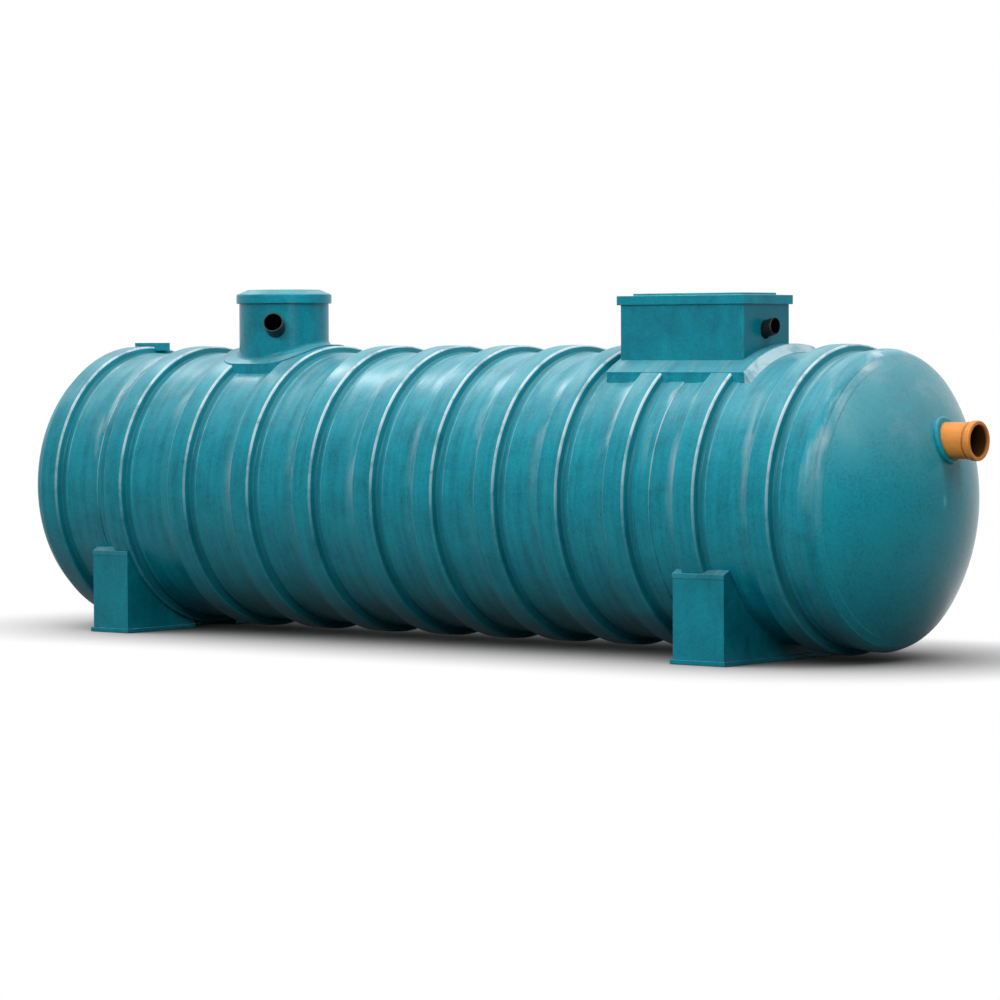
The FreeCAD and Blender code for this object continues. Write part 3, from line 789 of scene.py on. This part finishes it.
class TANK_OT_ribs(Operator):
    """Turn the hoop ribs with a cambered crown, rounded edges and a slight hand-laid waver"""

    bl_idname = "tank.ribs"
    bl_label = "Hoop Ribs"

    def execute(self, context):
        sizes = context.scene.tank_sizes
        foot_margin, waver_height = 0.003, 0.0008
        cut_ribs = (3, 10)
        for number, name in enumerate(RIBS, start=1):
            low, high = RIB_SPANS[number - 1]
            profile, marks = self.section(low, high, sizes)

            def relief(x, radius, angle):
                if radius < BARREL_R + foot_margin:
                    return 0.0
                waver = hoop_noise(x + number, angle, 5.0, 2.6)
                return waver_height * (waver - 1.0)

            skip = in_access_opening if number in cut_ribs else None
            mesh = turned(f"rib_{number:02d}", profile, sizes.round_steps, True, relief, marks, skip)
            place_piece(mesh.name, mesh, name, [name])
        return {"FINISHED"}

    def section(self, low, high, sizes):
        """Closed rib section from its left foot over the crown to its right foot, with its marks."""
        buried, part_way, guard = 0.002, 0.016, 0.0015
        edge, lean, drop = sizes.rib_edge, sizes.rib_flank_run, sizes.rib_camber
        inner, middle = BARREL_R - buried, BARREL_R + part_way
        left, right = low + lean, high - lean
        slope = lean / (RIB_R - BARREL_R)
        shoulder = RIB_R - drop
        edge_r, guard_r = shoulder + drop * 0.3, shoulder + drop * 0.34
        below = edge + guard
        # Painted shade on both flanks and feet; wear with a painted highlight on the crown edges, far
        # stronger on the right edge.
        rows = [((low, inner), {}), ((low, BARREL_R), {"painted_shade_share": 0.6})]
        rows.append(((low + slope * part_way, middle), {"painted_shade_share": 0.4}))
        start, end = (left - slope * edge, shoulder - edge), (left + edge, edge_r)
        rows += [(point, {"wear_and_highlight": 0.25}) for point in curve_through(start, (left, shoulder), end, 5)]
        rows.append(((left + edge + guard, guard_r), {}))
        for step in range(1, 8):
            t = step / 8
            x = left + edge + (right - left - 2 * edge) * t
            rows.append(((x, shoulder + drop * (0.3 + 0.7 * (1 - (2 * t - 1) ** 2))), {}))
        rows.append(((right - edge - guard, guard_r), {}))
        start, end = (right - edge, edge_r), (right + slope * edge, shoulder - edge)
        rows += [(point, {"wear_and_highlight": 1.0}) for point in curve_through(start, (right, shoulder), end, 7)]
        rows.append(((right + slope * below, shoulder - below), {"painted_shade_share": 0.35}))
        rows.append(((high - slope * part_way, middle), {"painted_shade_share": 0.5}))
        rows += [((high, BARREL_R), {"painted_shade_share": 0.6}), ((high, inner), {})]
        return split_rows(rows)


class TANK_OT_ends(Operator):
    """Finish the dished ends, wrap the inlet joint and lay the bands round the barrel"""

    bl_idname = "tank.ends"
    bl_label = "Dished Ends and Laps"

    def execute(self, context):
        sizes = context.scene.tank_sizes
        dress("far_end_dome", "inlet_end_dome")
        for node in ("far_lap_band", "inlet_lap_band"):
            mesh = self.band(node.replace("_band", "_strip"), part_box(node), sizes)
            place_piece(mesh.name, mesh, node, [node])
        under_tuck, wrap_tuck, wrap_steps = 0.020, 0.004, 24
        lift = sizes.lap_edge_height
        start, reach = INLET_TANGENT_X - under_tuck, sizes.inner_lap_reach
        under = self.over_knuckle("inlet_under_lap", [], start, reach, lift, sizes)
        place_piece(under.name, under, "inlet_end_dome")
        rows = foot_of_rib(RIB_SPANS[-1][1], sizes)
        first = rows[-1][0][0]
        base = BARREL_R + sizes.skin_lift
        top = DOME_R + 2 * lift
        run = INLET_SKIRT_X - first
        for step in range(1, wrap_steps + 1):
            t = step / wrap_steps
            rows.append(((first + run * t, base + (top - base) * t ** 0.9), {}))
        start, reach = INLET_SKIRT_X + wrap_tuck, sizes.outer_lap_reach
        wrap = self.over_knuckle("inlet_joint_wrap", rows, start, reach, 2 * lift, sizes)
        place_piece(wrap.name, wrap, "dome_joint_band", ["dome_joint_band"])
        return {"FINISHED"}

    def band(self, name, box, sizes):
        """Thin wound strip with a soft left edge and a crisp right one."""
        bevel, guard, dip, gap = 0.004, 0.0015, 0.0008, 0.0004
        low, high = box[0].x, box[1].x
        top, base = box[1].y, BARREL_R + gap
        soft, flat = low + 3 * bevel, high - low - 5 * bevel
        # Painted shade at both feet, a painted highlight growing across the top, and wear with a painted
        # highlight on the crisp right edge.
        rows = [((low, base), {"painted_shade_share": 0.5}), ((low + bevel, top - dip), {}), ((soft, top), {})]
        for step in range(1, 7):
            rows.append(((soft + flat * step / 7, top), {"painted_highlight": (step / 7) ** 2}))
        rows.append(((high - bevel - guard, top), {}))
        rounding = curve_through((high - bevel, top), (high, top), (high, top - bevel), 4)
        rows += [(point, {"wear_and_highlight": 0.9}) for point in rounding]
        rows.append(((high, base), {"painted_shade_share": 0.8}))
        profile, marks = split_rows(rows)
        return turned(name, profile, sizes.round_steps, False, None, marks)

    def over_knuckle(self, name, lead, start, reach, lift, sizes):
        """Lap from the inlet end's skirt over its knuckle, with a wavering edge that sinks away behind."""
        steps = sizes.round_steps
        shares = [step / 14 for step in range(1, 15)]
        side_start, side_run, sunk = 0.08, 0.60, 0.0010
        nose, nose_share, toe, toe_depth = 0.0016, 0.75, 0.0026, 0.0012
        columns = []
        for step in range(steps):
            angle = 2 * math.pi * step / steps
            shown = min(1.0, max(0.0, (-math.cos(angle) - side_start) / side_run))
            raised = lift * shown - sunk * (1.0 - shown)
            broad = 0.035 * hoop_noise(reach * 40.0, angle, 1.0, 2.4)
            narrow = 0.012 * hoop_noise(reach, angle, 1.0, 9.0)
            edge = reach * (1.0 + broad + narrow)
            column = [point for point, mark in lead]
            column += [(start, DOME_R + lift), (INLET_TANGENT_X, DOME_R + lift)]
            for share in shares:
                column.append(dome_point(edge * share, lift + (raised - lift) * min(1.0, 3 * share)))
            column.append(dome_point(edge + nose, raised * nose_share if raised > 0 else raised))
            column.append(dome_point(edge + toe, -toe_depth))
            columns.append([(x, r * math.cos(angle), AXIS_Z + r * math.sin(angle)) for x, r in column])
        count = len(columns[0])
        points = [columns[step][row] for row in range(count) for step in range(steps)]
        mesh = smooth_mesh(name, points, ring_faces(count, steps, False))
        marks = split_rows(lead)[1]
        arcs = [0.0, 0.0] + [reach * share for share in shares] + [reach, reach]
        # Wear with a painted highlight along the lap's edge, and a painted highlight band over the
        # knuckle.
        marks["wear_and_highlight"] += [0.0] * (len(arcs) - 3) + [0.15, 0.45, 0.10]
        marks["painted_shade_share"] += [0.0] * len(arcs)
        marks["painted_highlight"] += [self.knuckle_painted_highlight(arc) for arc in arcs]
        marked(mesh, marks, steps)
        return mesh

    def knuckle_painted_highlight(self, arc):
        """Share of painted highlight at an arc length from the tangent line."""
        most, middle, half_width = 0.7, 0.045, 0.062
        return most * max(0.0, 1.0 - ((arc - middle) / half_width) ** 2)


class TANK_OT_inlet(Operator):
    """Turn the inlet socket with its rounded bead and ridge, and finish the collar at its root"""

    bl_idname = "tank.inlet"
    bl_label = "Inlet Socket"

    def execute(self, context):
        dress("inlet_collar")
        low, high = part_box("inlet_socket")
        tail, mouth = low.x, high.x
        bead = (high.y - low.y) / 2
        pipe, bore, narrow = bead - 0.009, bead - 0.0215, bead - 0.027
        shoulder, depth = mouth - 0.034, mouth - 0.120
        ridge, ridge_half, ridge_rise = shoulder - 0.026, 0.006, 0.006
        swell_half, lip, throat_depth = 0.008, 0.009, 0.008
        round_steps = 96
        # Rows marked for painted shade: the recess before the swell, the throat and the bore.
        rows = [((tail, narrow), {"painted_shade_share": 1.0}), ((tail, pipe), {}), ((shoulder - 0.034, pipe), {})]
        start, end = (ridge - ridge_half, pipe), (ridge + ridge_half, pipe)
        rows += [(point, {}) for point in curve_through(start, (ridge, pipe + ridge_rise), end, 6)]
        rows.append(((shoulder - 0.018, pipe), {"painted_shade_share": 0.55}))
        rows.append(((shoulder - 0.010, pipe), {"painted_shade_share": 0.55}))
        start, end = (shoulder - swell_half, pipe), (shoulder + swell_half, bead)
        rows += [(point, {}) for point in curve_through(start, (shoulder, bead), end, 5)]
        start, end = (mouth - lip, bead), (mouth, bead - 0.008)
        rows += [(point, {}) for point in curve_through(start, (mouth, bead), end, 6)]
        start, end = (mouth, bore + 0.006), (mouth - throat_depth, bore)
        rows += [(point, {"painted_shade_share": 0.25}) for point in curve_through(start, (mouth, bore), end, 5)]
        rows.append(((mouth - 0.016, bore), {"painted_shade_share": 0.9}))
        rows += [((depth, bore), {"painted_shade_share": 1.0}), ((depth, narrow), {"painted_shade_share": 1.0})]
        profile, marks = split_rows(rows)
        middle = ((low.y + high.y) / 2, (low.z + high.z) / 2)
        mesh = turned("inlet_pipe", profile, round_steps, True, None, marks, None, middle)
        even_out(place_piece("inlet_pipe", mesh, "inlet_socket", ["inlet_socket"]))
        return {"FINISHED"}


class TANK_OT_round_turret(Operator):
    """Finish the round turret with its pad, flare, lid and spigot"""

    bl_idname = "tank.round_turret"
    bl_label = "Round Turret"

    def execute(self, context):
        dress(*(name for name in NODES if name.startswith("round_turret")))
        rounded_copy("round_lid", "round_turret_lid", context.scene.tank_sizes.trim_edge)
        return {"FINISHED"}


class TANK_OT_box_turret(Operator):
    """Finish the box turret with its bed, walls, lid and spigot"""

    bl_idname = "tank.box_turret"
    bl_label = "Box Turret"

    def execute(self, context):
        dress(*(name for name in NODES if name.startswith("box_turret")))
        self.bed_sheet()
        self.spigot()
        rounded_copy("box_lid", "box_turret_lid", context.scene.tank_sizes.trim_edge)
        return {"FINISHED"}

    def bed_sheet(self):
        """Sheet of laminate over the bed and the ribs beside it, turned down over the bed's inlet end."""
        low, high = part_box("box_turret_pad")
        hole_low, hole_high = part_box("box_turret_housing")
        tuck, border, lip = 0.006, 0.0015, 0.004
        left, right = hole_low.x + tuck, hole_high.x - tuck
        near, far = hole_low.y + tuck, hole_high.y - tuck
        stops = self.sheet_stops(low.x, high.x, left, right, border, lip)
        across = self.sheet_across(low.y - border, high.y + border, near, far)
        points, wear_and_highlight = [], []
        for x, rise, share in stops:
            for y, turned_down in across:
                radius = RIB_R + rise
                if turned_down:
                    radius = BARREL_R if share > 0.5 else RIB_R - lip
                points.append((x, y, AXIS_Z + math.sqrt(radius * radius - y * y)))
                wear_and_highlight.append(share)
        wide = len(across)
        faces = []
        for row in range(len(stops) - 1):
            for column in range(wide - 1):
                here, there = row * wide + column, (row + 1) * wide + column
                corners = (here, there, there + 1, here + 1)
                x, y, z = centre_of(points, corners)
                if not (left < x < right and near < y < far):
                    faces.append(corners)
        mesh = smooth_mesh("box_bed_sheet", points, faces)
        mesh.set_sharp_from_angle(angle=math.radians(40.0))
        marked(mesh, {"wear_and_highlight": wear_and_highlight})
        place_piece("box_bed_sheet", mesh, "box_turret_pad")

    def sheet_stops(self, start, end, left, right, border, lip):
        """Stops along the sheet, each with its rise over the ribs and its share of wear with a painted
        highlight; the turned-down slope carries a painted highlight.
        """
        lift, bend, slope_painted_highlight = 0.0016, 0.003, 0.75
        brink, ramp, drop = end - 0.030, 0.040, RIB_R - BARREL_R - 0.004
        stops = [(start - border, -lip, 0.0), (start - border, lift - 0.0008, 0.0), (start, lift, 0.0)]
        stops += [(left + (right - left) * step / 40, lift, 0.0) for step in range(41)]
        stops += [(brink - 0.012, lift, 0.0), (brink - 0.004, lift, 0.3)]
        for step in range(9):
            stops.append((brink + 0.002 + ramp * step / 8, lift - bend - drop * step / 8, slope_painted_highlight))
        return stops

    def sheet_across(self, front, back, near, far):
        """Places across the sheet, each with whether the sheet is turned down there."""
        rim = 0.0012
        across = [(front, True), (front, False), (front + rim, False)]
        across += [(front + (near - front) * step / 8, False) for step in range(1, 9)]
        across += [(near + (far - near) * step / 24, False) for step in range(1, 25)]
        across += [(far + (back - far) * step / 8, False) for step in range(1, 8)]
        return across + [(back - rim, False), (back, False), (back, True)]

    def spigot(self):
        """Spigot that climbs from the wall and is cut plumb at its mouth."""
        steps, wall, root_tuck, root_rise, mouth_gap = 64, 0.005, 0.012, 0.004, 0.006
        low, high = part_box("box_turret_spigot")
        radius = (high.y - low.y) / 2
        bore = radius - wall
        y = (low.y + high.y) / 2
        root = (low.x + root_tuck, low.z + radius + root_rise)
        mouth = (high.x - mouth_gap, high.z - radius)
        rings = [(0.0, radius), (0.94, radius), (0.985, radius - 0.0006), (1.0, radius - 0.002)]
        rings += [(1.0, bore + 0.001), (0.98, bore), (0.0, bore)]
        # Painted shade inside the bore, darkest towards the root.
        inside = (0.0, 0.0, 0.0, 0.0, 0.3, 0.9, 1.0)
        points = []
        for share, reach in rings:
            x = root[0] + (mouth[0] - root[0]) * share
            z = root[1] + (mouth[1] - root[1]) * share
            for step in range(steps):
                angle = 2 * math.pi * step / steps
                points.append((x, y + reach * math.cos(angle), z + reach * math.sin(angle)))
        mesh = smooth_mesh("box_pipe", points, ring_faces(len(rings), steps, True))
        marked(mesh, {"painted_shade_share": inside}, steps)
        even_out(place_piece("box_pipe", mesh, "box_turret_spigot", ["box_turret_spigot"]))


class TANK_OT_saddles(Operator):
    """Round the saddles with their caps and base flanges, and the boss on the crown"""

    bl_idname = "tank.saddles"
    bl_label = "Saddles and Boss"

    def execute(self, context):
        edge = context.scene.tank_sizes.trim_edge
        # Cap edges carry wear with a painted highlight.
        cap_edge, cap_wear_and_highlight = edge * 0.6, 0.5
        for place in ("far", "inlet"):
            rounded_copy(f"{place}_foot", f"{place}_saddle", edge)
            rounded_copy(f"{place}_foot_caps", f"{place}_saddle_caps", cap_edge, cap_wear_and_highlight)
            rounded_copy(f"{place}_foot_base", f"{place}_saddle_base", edge)
        rounded_copy("boss", "crown_boss", edge)
        return {"FINISHED"}


class TANK_OT_stage(Operator):
    """Set the pale floor, the studio light and the view"""

    bl_idname = "tank.stage"
    bl_label = "Floor, Light and View"

    def execute(self, context):
        scene = context.scene
        stage = scene.tank_stage
        scene.view_settings.view_transform = "Standard"
        self.floor(stage)
        self.world(scene)
        target = Vector((0.0, 0.0, AXIS_Z))
        inlet_end = Vector((2.8, -0.3, AXIS_Z))
        self.lamp("overhead_softbox", (0.5, -0.4, 6.5), target, (8.0, 3.0), 165.0)
        self.lamp("front_softbox", (0.5, -8.8, 6.0), target, (3.0, 2.0), 330.0)
        self.lamp("left_softbox", (-6.5, 1.8, 7.5), target, (1.3, 1.3), 120.0)
        self.lamp("end_strip", (8.9, -0.5, 8.2), inlet_end, (1.1, 8.0), 260.0)
        self.lamp("end_fill", (5.2, -3.6, 2.2), inlet_end, (2.0, 2.0), 40.0)
        self.camera(scene, stage)
        return {"FINISHED"}

    def floor(self, stage):
        """Pale floor that shows white to the view, with a soft shadow round the tank."""
        half_width, drop = 45.0, 0.0004
        shadow_lean, open_floor, shadow_depth = (-0.20, -0.20, 0.959), 0.975, 1.7
        shadow_colour, bounce_colour = (0.002, 0.003, 0.003, 1.0), (0.06, 0.06, 0.06, 1.0)
        bm = bmesh.new()
        bmesh.ops.create_grid(bm, x_segments=8, y_segments=8, size=half_width)
        mesh = bpy.data.meshes.new("studio_floor")
        bm.to_mesh(mesh)
        bm.free()
        floor = bpy.data.objects.new("studio_floor", mesh)
        floor.location.z = -drop
        bpy.context.scene.collection.objects.link(floor)
        bench = NodeBench(bpy.data.materials.new("studio_floor"))
        near = bench.node("ShaderNodeAmbientOcclusion", samples=24)
        near.inputs["Distance"].default_value = stage.shadow_reach
        lean = bench.node("ShaderNodeCombineXYZ")
        for socket, part in zip(lean.inputs, shadow_lean):
            socket.default_value = part
        bench.feed(near.inputs["Normal"], lean.outputs[0])
        open_share = bench.maths("DIVIDE", near.outputs["AO"], open_floor, clamp=True)
        shade = bench.maths("POWER", open_share, shadow_depth)
        shown = bench.node("ShaderNodeEmission")
        bench.feed(shown.inputs["Color"], bench.blend(shade, shadow_colour, full(stage.floor_colour)))
        shown.inputs["Strength"].default_value = 1.0
        lit = bench.node("ShaderNodeBsdfDiffuse")
        lit.inputs["Color"].default_value = bounce_colour
        mesh.materials.append(bench.surface(self.by_ray(bench, lit, shown)))

    def world(self, scene):
        """Air that glows softly from above and the left, and shows white to the view."""
        low_glow, high_glow, right_share = 0.36, 0.74, 0.32
        world = bpy.data.worlds.new("studio_air")
        scene.world = world
        bench = NodeBench(world)
        way = bench.node("ShaderNodeSeparateXYZ")
        bench.feed(way.inputs[0], bench.node("ShaderNodeTexCoord").outputs["Generated"])
        glow = bench.span(way.outputs["Z"], -0.05, 0.9, low_glow, high_glow)
        side = bench.span(way.outputs["X"], -0.2, 0.9, 1.0, right_share)
        air = bench.node("ShaderNodeBackground")
        bench.feed(air.inputs["Strength"], bench.maths("MULTIPLY", glow, side))
        shown = bench.node("ShaderNodeBackground")
        shown.inputs["Color"].default_value = (1.0, 1.0, 1.0, 1.0)
        shown.inputs["Strength"].default_value = 1.0
        out = bench.node("ShaderNodeOutputWorld")
        bench.feed(out.inputs["Surface"], self.by_ray(bench, air, shown).outputs[0])

    def by_ray(self, bench, lighting, shown):
        """Shader that lights the tank by one shader and shows the view another."""
        mixed = bench.node("ShaderNodeMixShader")
        bench.feed(mixed.inputs[0], seen_ray(bench))
        bench.feed(mixed.inputs[1], lighting.outputs[0])
        bench.feed(mixed.inputs[2], shown.outputs[0])
        return mixed

    def lamp(self, name, place, target, size, power):
        """Rectangular lamp at a place, aimed at a target."""
        data = bpy.data.lights.new(name, "AREA")
        data.shape = "RECTANGLE"
        data.size, data.size_y = size
        data.energy = power
        lamp = bpy.data.objects.new(name, data)
        lamp.location = place
        lamp.rotation_euler = (target - Vector(place)).to_track_quat("-Z", "Y").to_euler()
        bpy.context.scene.collection.objects.link(lamp)

    def camera(self, scene, stage):
        """View from the front right, a little above the tank's middle."""
        place = (14.3247, -17.5119, 1.636)
        turn, dip, roll = math.radians(39.206), math.radians(2.188), math.radians(-0.265)
        data = bpy.data.cameras.new("view")
        data.sensor_width = 36.0
        data.lens = stage.lens
        data.clip_end = 300.0
        camera = bpy.data.objects.new("view", data)
        ahead = Vector((-math.sin(turn) * math.cos(dip), math.cos(turn) * math.cos(dip), -math.sin(dip)))
        level = Vector((math.cos(turn), math.sin(turn), 0.0))
        plumb = level.cross(ahead)
        right = math.cos(roll) * level + math.sin(roll) * plumb
        up = math.cos(roll) * plumb - math.sin(roll) * level
        facing = Matrix((right, up, -ahead)).transposed().to_4x4()
        camera.matrix_world = Matrix.Translation(place) @ facing
        scene.collection.objects.link(camera)
        scene.camera = camera


STEPS = (
    TANK_OT_skins,
    TANK_OT_ribs,
    TANK_OT_ends,
    TANK_OT_inlet,
    TANK_OT_round_turret,
    TANK_OT_box_turret,
    TANK_OT_saddles,
    TANK_OT_stage,
)


class TANK_PT_sidebar(Panel):
    """Lists the steps that dress the tank"""

    bl_idname = "TANK_PT_sidebar"
    bl_label = "Water Tank"
    bl_space_type = "VIEW_3D"
    bl_region_type = "UI"
    bl_category = SIDEBAR

    def draw(self, context):
        column = self.layout.column(align=True)
        for step in STEPS:
            column.operator(step.bl_idname)
        for group in (context.scene.tank_sizes, context.scene.tank_finish, context.scene.tank_stage):
            box = self.layout.box()
            for name in group.__annotations__:
                box.prop(group, name)


CLASSES = (TankSizes, TankFinish, TankStage) + STEPS + (TANK_PT_sidebar,)


def register():
    for item in CLASSES:
        bpy.utils.register_class(item)
    bpy.types.Scene.tank_sizes = PointerProperty(type=TankSizes)
    bpy.types.Scene.tank_finish = PointerProperty(type=TankFinish)
    bpy.types.Scene.tank_stage = PointerProperty(type=TankStage)


def unregister():
    del bpy.types.Scene.tank_stage
    del bpy.types.Scene.tank_finish
    del bpy.types.Scene.tank_sizes
    for item in reversed(CLASSES):
        bpy.utils.unregister_class(item)


def main():
    register()
    bpy.ops.tank.skins()
    bpy.ops.tank.ribs()
    bpy.ops.tank.ends()
    bpy.ops.tank.inlet()
    bpy.ops.tank.round_turret()
    bpy.ops.tank.box_turret()
    bpy.ops.tank.saddles()
    bpy.ops.tank.stage()


if __name__ == "__main__":
    main()
